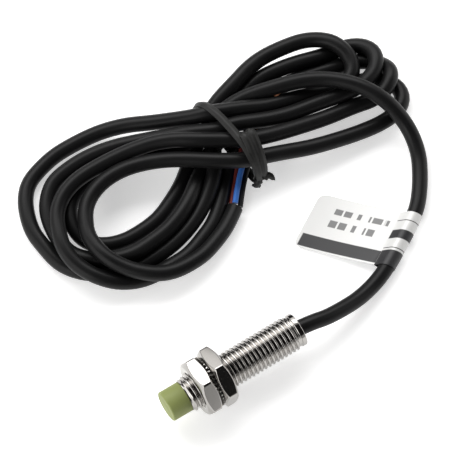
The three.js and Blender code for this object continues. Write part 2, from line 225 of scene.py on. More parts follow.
# %% Piece helpers
def piece_from(name, points, faces, material=None, sharp=40):
    """A mesh piece from points in millimetres."""
    mesh = bpy.data.meshes.new(name)
    mesh.from_pydata([tuple(Vector(p) * MM) for p in points], [], faces)
    piece = bpy.data.objects.new(name, mesh)
    bpy.context.collection.objects.link(piece)
    if material:
        mesh.materials.append(material)
    cleaned(piece, sharp)
    return piece


def shaded(piece, sharp):
    """Shades a piece smooth. Edges sharper than an angle in degrees stay crisp."""
    piece.data.shade_smooth()
    piece.data.set_sharp_from_angle(angle=radians(sharp))
    return piece


def cleaned(piece, sharp=40):
    """Merges doubled points, turns every face outwards, and shades the piece smooth."""
    work = bmesh.new()
    work.from_mesh(piece.data)
    bmesh.ops.remove_doubles(work, verts=work.verts, dist=0.002 * MM)
    bmesh.ops.dissolve_degenerate(work, edges=work.edges, dist=0.0005 * MM)
    bmesh.ops.recalc_face_normals(work, faces=work.faces)
    work.to_mesh(piece.data)
    work.free()
    shaded(piece, sharp)


def settled_mesh(piece):
    """Replaces a piece's modifiers by the mesh that they make."""
    bpy.context.view_layer.update()
    evaluated = piece.evaluated_get(bpy.context.evaluated_depsgraph_get())
    mesh = bpy.data.meshes.new_from_object(evaluated)
    made = bpy.data.objects.new(piece.name, mesh)
    name = piece.name
    bpy.data.objects.remove(piece)
    made.name = mesh.name = name
    bpy.context.collection.objects.link(made)
    return made


def rings(loops, closed_path=False):
    """Points and faces of a skin over loops of equally many points."""
    count = len(loops[0])
    points = [tuple(p) for loop in loops for p in loop]
    faces = []
    steps = len(loops) if closed_path else len(loops) - 1
    for i in range(steps):
        a, b = i * count, ((i + 1) % len(loops)) * count
        for j in range(count):
            k = (j + 1) % count
            faces.append((a + j, a + k, b + k, b + j))
    return points, faces


def turned(profile, sides=96):
    """Loops round the barrel's axis for (x, radius) pairs in millimetres."""
    spin = [2 * pi * j / sides for j in range(sides)]
    return [[(x, r * sin(a), axis_z + r * cos(a)) for a in spin] for x, r in profile]


def run_tree(name, piece, group, **inputs):
    """Runs a Geometry Nodes tree on a piece, with inputs set by the sockets' identifiers."""
    modifier = piece.modifiers.new(name, "NODES")
    modifier.node_group = group
    identifiers = {s.name: s.identifier for s in group.interface.items_tree if s.in_out == "INPUT"}
    for key, value in inputs.items():
        modifier[identifiers[key.replace("_", " ")]] = value
    return settled_mesh(piece)


def new_group(name, **inputs):
    """An empty Geometry Nodes tree with a geometry in, a geometry out and named number inputs."""
    group = bpy.data.node_groups.new(name, "GeometryNodeTree")
    face = group.interface
    face.new_socket("Geometry", in_out="INPUT", socket_type="NodeSocketGeometry")
    for key, kind in inputs.items():
        face.new_socket(key.replace("_", " "), in_out="INPUT", socket_type=f"NodeSocket{kind}")
    face.new_socket("Geometry", in_out="OUTPUT", socket_type="NodeSocketGeometry")
    tree = Tree(group)
    return group, tree, tree.add("NodeGroupInput")


def end_group(tree, geometry, material):
    """Every tree ends alike: real geometry instead of instances, and a material."""
    real = tree.add("GeometryNodeRealizeInstances", {0: geometry})[0]
    done = tree.add("GeometryNodeSetMaterial", {"Geometry": real, "Material": material})[0]
    tree.add("NodeGroupOutput", {0: done})


# %% [markdown]
# ## The cable's route
#
# The cable is a polyvinyl chloride jacket, 3.4 mm thick, over three thin wires. It leaves the
# barrel straight, drops to the table, bends round under its label and is then wound into a
# figure eight: each turn is a left loop, beyond the sensing face, and a right loop, at the cable's
# side. A route like this can't come from a formula, because no two turns of a hand-wound hank are
# alike, so it is a list of points a few millimetres apart, turn by turn. The strands that cross at
# the waist are laid at different heights.

# %% Route points, in millimetres
cable_diameter = 3.4
bush_depth = 3.8  # of the jacket's end inside the barrel

run_route = [
    (rear_x + bush_depth, 0, axis_z), (rear_x, 0, axis_z), (-19.6, 0.3, 6.6), (-23, 0.6, 5.7),
    (-27, 0.4, 4.5), (-31, -0.1, 3.3), (-35, -1.1, 2.4), (-38.7, -2.4, 2.1), (-42.4, -4.3, 2),
    (-46.5, -6.7, 2), (-50.3, -9, 2), (-53.6, -11.4, 1.9), (-56.3, -14.4, 1.75),
    (-58.7, -17.8, 1.75), (-60.6, -21.2, 2), (-61.6, -24.6, 2.8), (-61.8, -27.6, 4),
    (-61.4, -30.1, 5.4), (-60.4, -33, 7.4), (-58.6, -36.5, 8.8), (-56.2, -39.9, 9.4),
    (-52.6, -43.7, 9.4), (-48.3, -46.4, 9.2), (-43.2, -48.3, 9), (-37.8, -49.6, 8.6),
    (-32.2, -51, 7.2),
]
first_left = [
    (-28, -50.6, 5.8), (-24.5, -49, 5.4), (-20.5, -48.4, 5.4), (-16.5, -49.2, 5.2),
    (-12, -51.5, 4.6), (-7, -53.5, 4), (-2.5, -54, 4), (2, -54, 4), (5.5, -53, 4), (8.5, -51, 4),
    (10, -48.5, 3.5), (10.5, -45.5, 2.5), (10, -42.5, 2), (8.5, -40.5, 1.7), (6, -39, 1.7),
    (2.5, -38, 1.7), (-1, -38, 1.7),
    (-6, -38.5, 1.7), (-10.5, -40.5, 2), (-15, -43, 2), (-21, -48, 2),
]
first_right = [
    (-27.5, -52, 3), (-33, -54.5, 4), (-36.5, -55.5, 4.5), (-40.5, -57, 5), (-45, -57.5, 5),
    (-49.5, -57, 5), (-53.1, -56.4, 5), (-56.1, -55, 5), (-58.5, -52.8, 5), (-59.9, -50, 5),
    (-60.4, -47.1, 5), (-59.5, -44.4, 5), (-57.6, -42.7, 5), (-54.8, -42.4, 5), (-50.5, -43.2, 5),
    (-45.5, -45, 6), (-40, -46.2, 7), (-35, -48, 7.5), (-30, -49.6, 7.6),
]
second_left = [
    (-25, -51.6, 7.4), (-20.2, -54.5, 6.3), (-15.6, -57.3, 5), (-11.5, -60, 3.8), (-6.5, -62, 2.5),
    (-1.5, -62.8, 2), (4.5, -63, 1.7), (9, -62, 1.7), (13, -60.5, 1.7), (15.5, -57.5, 1.7),
    (17, -54, 1.7), (18, -50, 1.7), (17.5, -46, 1.7), (16.5, -42, 1.7), (15, -38.5, 1.7),
    (12, -35.5, 1.7), (8, -33, 1.7), (3, -31.5, 2), (-3, -31.5, 2.5), (-8.5, -32.5, 3),
    (-15, -35.5, 3), (-21, -40.5, 3),
]
second_right = [
    (-27, -50, 2.5), (-32.5, -52.5, 2.5), (-37, -53.5, 3), (-41, -54.5, 3.5), (-45.5, -54, 3.5),
    (-50.5, -53, 4), (-55.3, -51.5, 4), (-59.2, -51.4, 3), (-63.1, -50.2, 2.5), (-65.3, -47.6, 3),
    (-65.5, -44.6, 3.5), (-63.9, -42, 4), (-60.6, -40.7, 4.5), (-57.5, -40.5, 5), (-53.7, -40.7, 5),
    (-47.5, -41.7, 5.5), (-42, -42.2, 6.5), (-36, -43.7, 8), (-29.5, -46.5, 9),
]
third_left = [
    (-26, -46.5, 9), (-21, -49.5, 8), (-15.5, -52.5, 7), (-10, -55, 5.5), (-5, -57, 5),
    (0, -58, 4), (4.5, -58, 3.5), (8.5, -57.5, 3), (11, -55.5, 2.5), (13, -53, 2.5),
    (14, -49.5, 2), (14.5, -45.5, 2), (14.5, -42, 2), (13, -39, 1.7), (10.5, -36.5, 1.7),
    (7, -35, 2.5), (3.5, -33.5, 3.5), (-2, -34, 4), (-6.5, -34.5, 4), (-12.5, -37, 4.5),
    (-18.5, -41.5, 4.5),
]
third_right = [
    (-26, -47.5, 2), (-32.5, -49.5, 2), (-38, -50.5, 1.7), (-44.5, -51, 1.7), (-51, -50, 1.7),
    (-57.2, -48.4, 1.7), (-61.6, -47.4, 1.7), (-65, -45.2, 2), (-66.4, -42, 2.5), (-65.6, -38.9, 3),
    (-62.9, -37, 3.5), (-59, -36.4, 4), (-54.8, -37.4, 4.5), (-48.5, -37.9, 5), (-41.5, -38.9, 6.5),
    (-35.5, -39.9, 8), (-30, -41.4, 9),
]
fourth_left = [
    (-25, -44.5, 9), (-21, -47, 9), (-17.5, -49.5, 8), (-12.5, -52, 7), (-6.5, -53.5, 6),
    (-1, -54, 5.5), (4, -54, 5), (8, -53, 5), (10.5, -51.5, 5), (12.5, -49.5, 5), (14, -46, 5),
    (15, -43, 5), (15, -39, 4.5), (13.5, -35, 3.5), (11, -32, 3), (8.5, -30, 2), (5, -28.5, 2),
    (0.5, -28, 1.7), (-3.5, -28, 2), (-7, -28, 2), (-11, -29.5, 2), (-16, -31.5, 2),
    (-21, -36.5, 2),
]
fourth_right = [
    (-26.5, -42, 2), (-32, -44.5, 1.7), (-38.5, -45.5, 1.7), (-46.5, -45.5, 1.7),
    (-53.7, -44.2, 1.7), (-59.3, -43, 1.7), (-63.9, -41, 1.7), (-66.2, -37.8, 1.7),
    (-65.8, -34.4, 2), (-62.9, -32.2, 2), (-58.2, -31.6, 2.5), (-52, -32.2, 3), (-46, -33.2, 4),
    (-41, -34.2, 5), (-36, -35.7, 6), (-32, -36.7, 7.5), (-28, -37.7, 8.5),
]
fifth_left = [
    (-24.5, -39.3, 9), (-20.5, -42, 9), (-16.5, -45, 8.5), (-12.5, -47.5, 8), (-8, -49.5, 7.5),
    (-4, -50.5, 7), (0, -50.5, 6.5), (3.5, -49.5, 6.5), (6.5, -47.5, 6), (8, -45, 6),
    (9.5, -42, 6), (9.5, -39, 6), (9, -35.5, 5.5), (7, -32, 5), (4.5, -29, 5), (1, -26.5, 4.5),
    (-2.5, -25.5, 4), (-6, -25.5, 4), (-10, -26, 3), (-13.5, -27.5, 2.5), (-16.5, -29, 2),
    (-19, -30.5, 2), (-21, -32, 2),
]
turns = [
    first_left, first_right, second_left, second_right, third_left, third_right,
    fourth_left, fourth_right, fifth_left,
]
hank_route = [point for turn in turns for point in turn]
print(f"{len(run_route)} points along the run, {len(hank_route)} in the hank")

# %% [markdown]
# ## Laying the cable
#
# The listed points lie a little in each other where strands cross. Real strands push each other
# aside and upwards and come to rest on the table, so the route is settled the same way: points
# that are closer than a diameter move apart, mostly upwards, while stiffness smooths each strand
# and a weak pull keeps it near its route. It is a small fixed number of rounds with no chance in
# it, so it comes out the same each time.


# %% Smooth curve, even steps, and settling
rounds = 300
near_along = 2.2  # diameters along the cable within which points don't push each other
push_share = [0.45, 0.45, 1]  # along X, Y and Z: strands mostly climb over each other
bend_share = [0.12, 0.12, 0.35]
route_pull = [0.08, 0.08, 0.02]


def smooth(points, steps=8):
    """A Catmull-Rom curve through the points."""
    ends = [2 * points[0] - points[1]], [2 * points[-1] - points[-2]]
    p = np.concatenate([ends[0], points, ends[1]])
    out = []
    for k in range(steps):
        t = k / steps
        out.append(
            0.5 * (
                2 * p[1:-2]
                + (p[2:-1] - p[:-3]) * t
                + (2 * p[:-3] - 5 * p[1:-2] + 4 * p[2:-1] - p[3:]) * t**2
                + (3 * p[1:-2] - p[:-3] - 3 * p[2:-1] + p[3:]) * t**3
            )
        )
    return np.concatenate([np.stack(out, 1).reshape(-1, 3), points[-1:]])


def distances(points):
    """How far along a line each of its points lies."""
    return np.r_[0, np.cumsum(np.linalg.norm(np.diff(points, axis=0), axis=1))]


def evenly(points, step):
    """Points a step apart along a line."""
    along = distances(points)
    places = np.linspace(0, along[-1], int(round(along[-1] / step)) + 1)
    return np.stack([np.interp(places, along, points[:, k]) for k in range(3)], 1)


def line_length(points):
    return float(np.linalg.norm(np.diff(points, axis=0), axis=1).sum())


def settle(route, diameter, step, held):
    """Moves the points until strands only touch, and nothing lies under the table."""
    points = route.copy()
    skip = int(near_along * diameter / step) + 2
    first, second = np.triu_indices(len(points), skip)
    for _ in range(rounds):
        gap = points[second] - points[first]
        distance = np.linalg.norm(gap, axis=1)
        close = distance < diameter
        a, b = first[close], second[close]
        away = gap[close] / np.maximum(distance[close], 1e-6)[:, None]
        push = away * (diameter - distance[close])[:, None] / 2 * push_share
        move, share = np.zeros_like(points), np.zeros(len(points))
        np.add.at(move, b, push)
        np.add.at(move, a, -push)
        np.add.at(share, a, 1)
        np.add.at(share, b, 1)
        points += move / np.maximum(share, 1)[:, None]
        bend = np.zeros_like(points)
        bend[1:-1] = (points[:-2] + points[2:]) / 2 - points[1:-1]
        points += bend * bend_share
        points += (route - points) * route_pull
        points[:held] = route[:held]
        points[:, 2] = np.maximum(points[:, 2], diameter / 2)
    return points


route_step = 2.0
held_points = 40  # from the barrel to past the label
rough_route = evenly(smooth(np.array(run_route + hank_route, float)), route_step)
cable_line = settle(rough_route, cable_diameter, route_step, held_points)
cable_line = evenly(smooth(cable_line, 4), 1.0)
highest_point = cable_line[:, 2].max() + cable_diameter / 2

# %% [markdown]
# ## The jacket's finish
#
# Cable jacket is soft black plastic drawn through a die. It has a satin sheen, very fine lines
# along its length and a slight dusty unevenness. The lines have to follow the cable round every
# bend, so the tube carries two attributes, the distance along it and the angle round it.


# %% Jacket, and a tree that draws a tube along a line
def jacket_finish(name, color, dust, roughness):
    f = Finish(name, **{"Specular IOR Level": 0.16})
    along, around = f.attribute("along"), f.attribute("around")
    turn = around * (2 * pi)
    lines = f.add(
        "ShaderNodeCombineXYZ",
        {0: along * 18, 1: turn.math("COSINE") * 3.2, 2: turn.math("SINE") * 3.2},
    )[0]
    streaks = f.noise(1.0, 3, lines)
    blotches = f.noise(140, 3)
    f.feed("Base Color", f.mix(blotches * 0.5 + streaks * 0.5, color, dust))
    f.feed("Roughness", roughness - 0.08 + streaks * 0.1 + blotches * 0.08)
    f.bump(streaks * 0.6 + f.noise(2600, 2) * 0.4, 0.00002, 0.35)
    return f.material


def tube_group():
    """Curve to mesh, with the distance along and the angle round kept as attributes."""
    group, t, given = new_group(
        "tube along a line", Diameter="Float", Sides="Int", Material="Material"
    )
    length = t.add("GeometryNodeSplineParameter")["Length"]
    line = t.stored(given["Geometry"], "along", length)
    circle = {"Resolution": given["Sides"], "Radius": given["Diameter"] / 2}
    ring = t.add("GeometryNodeCurvePrimitiveCircle", circle)["Curve"]
    angle = t.add("GeometryNodeSplineParameter")["Factor"]
    ring = t.stored(ring, "around", angle)
    sweep = {"Curve": line, "Profile Curve": ring, "Fill Caps": True}
    skin = t.add("GeometryNodeCurveToMesh", sweep)[0]
    end_group(t, skin, given["Material"])
    return group


tube_tree = tube_group()


def tube(name, points, diameter, material, sides=24):
    """A round cord along points in millimetres."""
    curve = bpy.data.curves.new(name, "CURVE")
    curve.dimensions = "3D"
    spline = curve.splines.new("POLY")
    spline.points.add(len(points) - 1)
    for knot, point in zip(spline.points, points):
        knot.co = (*(point * MM), 1)
    piece = bpy.data.objects.new(name, curve)
    bpy.context.collection.objects.link(piece)
    piece = run_tree(
        "tube", piece, tube_tree, Diameter=diameter * MM, Sides=sides, Material=material
    )
    return shaded(piece, 50)


jacket = jacket_finish("jacket", rgb(0.004, 0.004, 0.0045), rgb(0.013, 0.013, 0.013), 0.36)
cable = tube("cable", cable_line, cable_diameter, jacket, 28)
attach(cable, "sensor")
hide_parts("cable_run", "cable_hank")
print(f"cable has {len(cable.data.polygons)} faces")

# %% [markdown]
# ## The three wires at the cut end
#
# Where the jacket stops, its three insulated wires go on into the bundle: brown and blue carry
# the supply, black the switched output. Each is stripped for 5 mm.

# %% Wires and conductors
wire_diameter = 1.2
conductor_diameter = 0.6
stripped_length = 5
jacket_gap = 0.6  # from the jacket's end to the first of each wire's insulation
bare_overlap = 0.5  # of each conductor inside its insulation
wire_routes = {
    "brown": [
        (-20.3, -32.3, 1.6), (-23.7, -36.5, 1.9), (-27.5, -40.8, 2.6), (-32, -44.6, 3.6),
        (-37.5, -46.6, 6.4), (-42.5, -47.2, 8.4),
    ],
    "blue": [
        (-20.9, -31.9, 2.6), (-24.4, -35.9, 3.1), (-28.4, -39.8, 3.4), (-33, -43.4, 3.2),
        (-38.6, -46.8, 2.6),
    ],
    "black": [
        (-21.7, -31.1, 1.2), (-25.2, -35.2, 1.7), (-29.4, -39.4, 2.1), (-34, -43, 1.6),
        (-39.6, -45.4, 1.2),
    ],
}
wire_colors = {
    "brown": (rgb(0.17, 0.026, 0.022), rgb(0.25, 0.05, 0.04)),
    "blue": (rgb(0.03, 0.14, 0.52), rgb(0.07, 0.22, 0.66)),
    "black": (rgb(0.012, 0.012, 0.013), rgb(0.035, 0.035, 0.036)),
}


def copper_finish():
    f = Finish("copper", Metallic=1.0)
    along, around = f.attribute("along"), f.attribute("around")
    strands = ((around * 7 + along * 900) % 1 - 0.5).math("ABSOLUTE")
    f.feed("Base Color", f.mix(f.noise(900, 2), rgb(0.75, 0.36, 0.2), rgb(0.62, 0.26, 0.14)))
    f.feed("Roughness", 0.28 + f.noise(1500, 2) * 0.12)
    f.bump(strands, 0.00006, 0.8)
    return f.material


copper = copper_finish()
for color, route in wire_routes.items():
    line = evenly(smooth(np.array(route, float)), 0.5)
    places = distances(line)
    stripped_from = places[-1] - stripped_length
    insulated = line[(places > jacket_gap) & (places < stripped_from)]
    bare = line[places >= stripped_from - bare_overlap]
    finish = jacket_finish(f"wire_{color}", *wire_colors[color], 0.36)
    wire = tube(f"wire_{color}", insulated, wire_diameter, finish, 20)
    strands = tube(f"strands_{color}", bare, conductor_diameter, copper, 16)
    for piece, node, slot in (
        (wire, f"core_{color}", f"wire_{color}"),
        (strands, f"conductor_{color}", "bare_copper"),
    ):
        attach(piece, "sensor")
        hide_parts(node)
    covered_length, bare_length = line_length(insulated), line_length(bare)
    print(f"{color} wire: {covered_length:.1f} mm insulated, {bare_length:.1f} mm bare")

# %% [markdown]
# ## The threaded barrel
#
# The barrel is turned brass tube with a fine M8 thread cut along it, bright nickel plated. A
# thread is a rule: the same profile, moved on by one pitch a turn. Geometry Nodes bends a flat grid
# into it. The grid's columns are the angle, its rows run along the barrel, and each column is moved
# on by its share of a pitch, so the rows follow the crests exactly. At both ends the thread runs
# out to its root, where the smooth collar and the bore, which are turned profiles, join it.

# %% Thread by Geometry Nodes
thread_pitch = 1.0
thread_crest = 3.9
thread_depth = 0.45
thread_run_out = 0.7
crest_until = 0.13  # pitches from the middle of the crest to the edge of its flat
root_from = 0.45  # pitches from the middle of the crest to the root
rows_per_pitch = 12
barrel_sides = 96
collar_length = 1.4
collar_radius = 3.7
bore_radius = 2.95
thread_front = barrel_high[0]
thread_rear = rear_x + collar_length
thread_length = thread_front - thread_rear


def thread_group():
    group, t, given = new_group(
        "thread", Crest="Float", Depth="Float", Pitch="Float", Length="Float", Run_out="Float",
        Rows="Int", Columns="Int", Per_pitch="Int", Material="Material",
    )
    counts = {"Vertices X": given["Rows"], "Vertices Y": given["Columns"] + 1}
    grid = t.add("GeometryNodeMeshGrid", {"Size X": 1.0, "Size Y": 1.0, **counts})["Mesh"]
    place = t.add("ShaderNodeSeparateXYZ", {0: t.add("GeometryNodeInputPosition")[0]})
    row = ((place[0] + 0.5) * (given["Rows"] - 1)).math("ROUND")
    turn = place[1] + 0.5
    along = (row / given["Per pitch"] - 1 + turn) * given["Pitch"]
    along = along.math("MAXIMUM", 0).math("MINIMUM", given["Length"])
    # a flat crest and a narrow root, with straight flanks between them
    from_crest = ((row / given["Per pitch"]) % 1 - 0.5).math("ABSOLUTE")
    height = (root_from - from_crest) / (root_from - crest_until)
    height = height.math("ADD", 0, clamp=True)
    to_end = along.math("MINIMUM", given["Length"] - along) / given["Run out"]
    height = height * to_end.math("ADD", 0, clamp=True)
    radius = given["Crest"] - given["Depth"] * (1 - height)
    angle = turn * (2 * pi)
    bent = t.add(
        "ShaderNodeCombineXYZ",
        {0: along * -1, 1: radius * angle.math("SINE"), 2: radius * angle.math("COSINE")},
    )[0]
    moved = t.add("GeometryNodeSetPosition", {"Geometry": grid, "Position": bent})[0]
    merged = t.add("GeometryNodeMergeByDistance", {"Geometry": moved, "Distance": 0.001 * MM})[0]
    end_group(t, merged, given["Material"])
    return group


def nickel_finish(name, roughness, mark_scale=(1, 1, 1), tone=1.0):
    f = Finish(name, Metallic=1.0)
    smudge, fine = f.noise(220, 3), f.noise(2400, 2)
    marks = f.noise(900, 2, f.place(mark_scale))
    bright = rgb(*(c * tone for c in (0.44, 0.427, 0.41)))
    worn = rgb(*(c * tone for c in (0.37, 0.357, 0.34)))
    f.feed("Base Color", f.mix(smudge, bright, worn))
    f.feed("Roughness", roughness - 0.05 + smudge * 0.07 + fine * 0.04)
    f.bump(marks * 0.7 + fine * 0.3, 0.000006, 0.5)
    return f.material


nickel = nickel_finish("nickel_turned", 0.1, (6, 0.6, 0.6))
nut_nickel = nickel_finish("nickel_nut", 0.16)
washer_nickel = nickel_finish("nickel_washer", 0.32, tone=1.5)


def make_barrel():
    blank = bpy.data.objects.new("barrel_shell", bpy.data.meshes.new("blank"))
    bpy.context.collection.objects.link(blank)
    rows = int(ceil((thread_length / thread_pitch + 1) * rows_per_pitch)) + 1
    thread = run_tree(
        "thread", blank, thread_group(), Crest=thread_crest * MM, Depth=thread_depth * MM,
        Pitch=thread_pitch * MM, Length=thread_length * MM, Run_out=thread_run_out * MM, Rows=rows,
        Columns=barrel_sides, Per_pitch=rows_per_pitch, Material=nickel,
    )
    thread.data.transform(Matrix.Translation(Vector((thread_front, 0, axis_z)) * MM))
    root = thread_crest - thread_depth
    edge = 0.12  # broken edges of the collar
    profile = [
        (thread_rear, root), (thread_rear - 0.15, root), (thread_rear - 0.35, collar_radius - edge),
        (thread_rear - 0.4, collar_radius - 0.01), (thread_rear - 0.46, collar_radius),
        (rear_x + edge + 0.06, collar_radius), (rear_x + edge, collar_radius - 0.01),
        (rear_x, collar_radius - edge), (rear_x, bore_radius + edge), (rear_x + edge, bore_radius),
        (thread_front, bore_radius), (thread_front, root),
    ]
    points, faces = rings(turned(profile, barrel_sides))
    rest = piece_from("barrel_rest", points, faces, nickel)
    work = bmesh.new()
    work.from_mesh(thread.data)
    work.from_mesh(rest.data)
    work.to_mesh(thread.data)
    work.free()
    bpy.data.objects.remove(rest)
    thread.data.materials.clear()
    thread.data.materials.append(nickel)
    thread.data.polygons.foreach_set("material_index", [0] * len(thread.data.polygons))
    cleaned(thread, 50)
    return thread


barrel = make_barrel()
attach(barrel, "sensor")
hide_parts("barrel")
print(f"thread of {thread_length / thread_pitch:.1f} turns, {len(barrel.data.polygons)} faces")

# %% [markdown]
# ## The two nuts
#
# Each nut is a hexagon 12 mm across its flats and 3.4 mm thick, with both faces chamfered at 30
# degrees, which cuts the well-known arcs into its flats. The flat's distance from the axis is known
# at every angle, and so is the height at which the chamfer's cone meets it, so the whole nut is a
# skin over a few closed loops. A narrow bevel rounds the sharp edges, which is what makes them
# catch the light.

# %% Nuts
nut_across_flats = 12.0
nut_chamfer_radius = 5.5
nut_bore_radius = 4.0
nut_countersink = 0.35
nut_edge = 0.13
front_corner_turn = 21.1  # degrees from +Z towards +Y of one corner
rear_corner_turn = 6.3
nut_sides = 144


def make_nut(name, node, corner_turn):
    low, high = corners(node)
    front, back = high[0], low[0]
    slope = tan(radians(30))
    angles = [2 * pi * j / nut_sides for j in range(nut_sides)]
    flat = [
        nut_across_flats / 2 / cos((a - radians(corner_turn)) % (pi / 3) - pi / 6) for a in angles
    ]
    chamfer = [(r - nut_chamfer_radius) * slope for r in flat]

    def loop(x, radius):
        knots = zip(x, radius, angles)
        return [(at, r * sin(a), axis_z + r * cos(a)) for at, r, a in knots]

    def ring(x, radius):
        return loop([x] * nut_sides, [radius] * nut_sides)

    mouth = nut_bore_radius + nut_countersink
    loops = [
        ring(front, mouth), ring(front, nut_chamfer_radius),
        loop([front - c for c in chamfer], flat), loop([back + c for c in chamfer], flat),
        ring(back, nut_chamfer_radius), ring(back, mouth),
        ring(back + nut_countersink, nut_bore_radius),
        ring(front - nut_countersink, nut_bore_radius),
    ]
    points, faces = rings(loops, closed_path=True)
    nut = piece_from(name, points, faces, nut_nickel, 25)
    bevel = nut.modifiers.new("edges", "BEVEL")
    bevel.width, bevel.segments = nut_edge * MM, 3
    bevel.limit_method, bevel.angle_limit = "ANGLE", radians(22)
    nut = shaded(settled_mesh(nut), 24)
    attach(nut, node)
    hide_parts(node)
    print(f"{name}: x {back:.2f} to {front:.2f} mm, {len(nut.data.polygons)} faces")
    return nut


make_nut("front_hex_nut", "front_nut", front_corner_turn)
make_nut("rear_hex_nut", "rear_nut", rear_corner_turn)

# %% [markdown]
# ## The toothed lock washer
#
# The washer between the nuts is stamped from spring steel. Its rim is cut into small teeth, each
# twisted so that its corners bite into both nuts. One tooth is a small wedge. Geometry Nodes sets
# it round a circle, twists each copy about its own length, and joins them to the flat ring.

# %% Lock washer by Geometry Nodes
washer_low, washer_high = corners("lock_washer")
washer_teeth = 36
washer_thickness = washer_high[0] - washer_low[0]
washer_outer = (washer_high[2] - washer_low[2]) / 2
washer_bore_radius = 4.05
tooth_length = 1.15
tooth_root = 0.2  # of each tooth inside the ring
tooth_twist = 38  # degrees
tooth_width = 0.13  # of the washer's radius
tooth_thickness = 0.6  # of the washer's thickness
tooth_narrowing = 0.75


def washer_group():
    group, t, given = new_group(
        "toothed washer", Teeth="Int", Radius="Float", Tooth_length="Float", Twist="Float",
        Thickness="Float", Material="Material",
    )
    reach = given["Radius"] - given["Tooth length"] / 2
    ring = t.add("GeometryNodeMeshCircle", {"Vertices": given["Teeth"], "Radius": reach})["Mesh"]
    size = t.add(
        "ShaderNodeCombineXYZ",
        {
            0: given["Tooth length"],
            1: given["Radius"] * tooth_width,
            2: given["Thickness"] * tooth_thickness,
        },
    )[0]
    tooth = t.add("GeometryNodeMeshCube", {"Size": size})["Mesh"]
    # the outer end narrows to a blunt edge
    where = t.add("GeometryNodeInputPosition")[0]
    apart = t.add("ShaderNodeSeparateXYZ", {0: where})
    narrow = 1 - apart[0].above(0, 0.0001) * tooth_narrowing
    shape = t.add("ShaderNodeCombineXYZ", {0: apart[0], 1: apart[1] * narrow, 2: apart[2]})[0]
    tooth = t.add("GeometryNodeSetPosition", {"Geometry": tooth, "Position": shape})[0]
    number = t.add("GeometryNodeInputIndex")[0]
    turn = t.add(
        "ShaderNodeCombineXYZ", {0: given["Twist"], 1: 0.0, 2: number * (2 * pi) / given["Teeth"]}
    )[0]
    spin = t.add("FunctionNodeEulerToRotation", {0: turn})[0]
    copies = {"Points": ring, "Instance": tooth, "Rotation": spin}
    teeth = t.add("GeometryNodeInstanceOnPoints", copies)[0]
    both = t.add("GeometryNodeJoinGeometry")
    t.tree.links.new(teeth.socket, both.node.inputs[0])
    t.tree.links.new(given["Geometry"].socket, both.node.inputs[0])
    end_group(t, both[0], given["Material"])
    return group


def make_washer():
    middle = (washer_low[0] + washer_high[0]) / 2
    half = washer_thickness * 0.36
    inner, outer = washer_bore_radius, washer_outer - tooth_length + tooth_root
    spin = [2 * pi * j / 72 for j in range(72)]
    profile = [(half, inner), (half, outer), (-half, outer), (-half, inner)]
    loops = [[(r * cos(a), r * sin(a), z) for a in spin] for z, r in profile]
    points, faces = rings(loops, closed_path=True)
    washer = piece_from("toothed_washer", points, faces, washer_nickel)
    washer = run_tree(
        "teeth", washer, washer_group(), Teeth=washer_teeth, Radius=washer_outer * MM,
        Tooth_length=tooth_length * MM, Twist=radians(tooth_twist),
        Thickness=washer_thickness * MM, Material=washer_nickel,
    )
    across = Matrix.Rotation(pi / 2, 4, "Y")
    washer.data.transform(Matrix.Translation(Vector((middle, 0, axis_z)) * MM) @ across)
    washer.data.set_sharp_from_angle(angle=radians(30))
    return washer


washer = make_washer()
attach(washer, "lock_washer")
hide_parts("lock_washer")
print(f"washer with {washer_teeth} teeth, {len(washer.data.polygons)} faces")

# %% [markdown]
# ## The sensing cap
#
# The cap over the coil is moulded plastic, because metal would screen the field. It is a plain
# cup with a small edge radius, matt, and very finely grained. Its face shows a faint turned ring
# where the moulding gate was cleaned off.

# %% Sensing cap
cap_radius = 3.35
cap_edge = 0.35
cap_rear = barrel_high[0]


def cap_finish():
    f = Finish("cap", **{"Specular IOR Level": 0.4})
    mottle, grain = f.noise(160, 3), f.noise(3000, 2)
    f.feed("Base Color", f.mix(mottle, rgb(0.235, 0.272, 0.084), rgb(0.275, 0.31, 0.105)))
    f.feed("Roughness", 0.5 + grain * 0.12)
    f.bump(grain * 0.7 + mottle * 0.3, 0.00002, 0.3)
    return f.material


def make_cap():
    arc = [i / 8 * pi / 2 for i in range(9)]
    dished_x = face_x - 0.02
    profile = [(face_x, 0), (face_x, 1.2), (dished_x, 1.25), (dished_x, 2.7), (face_x, 2.78)]
    profile += [
        (face_x - cap_edge * (1 - cos(a)), cap_radius - cap_edge * (1 - sin(a))) for a in arc
    ]
    profile += [(cap_rear + 0.1, cap_radius), (cap_rear + 0.02, cap_radius - 0.08)]
    profile += [(cap_rear + 0.02, 2.8), (cap_rear - 2.4, 2.8), (cap_rear - 2.4, 2.45)]
    profile += [(face_x - 0.7, 2.45), (face_x - 0.7, 0)]
    points, faces = rings(turned(profile))
    return piece_from("sensing_cup", points, faces, cap_finish(), 50)


cap = make_cap()
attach(cap, "sensor")
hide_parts("sensing_cap")
print(f"cap {face_x - cap_rear:.1f} mm long in front of the thread")

# %% [markdown]
# ## The label
#
# The label is a strip of metallised film, wrapped once round the cable with its two ends stuck
# face to face as a flag. Its section is a teardrop: round the cable, then pinched into two layers.
# The strip is a grid that follows that section across, and the cable along. A thickness is given
# to the film afterwards. Its print is plain bands and two rows of plain blocks, drawn from the
# strip's own UV map, and it carries no words.

# %% Label
label_start = 25.5  # along the cable from the collar
label_width = 13.5
label_reach = 20.5
label_skew = 10  # degrees that the flag leans along the cable
label_corner = 1.6
film_thickness = 0.12


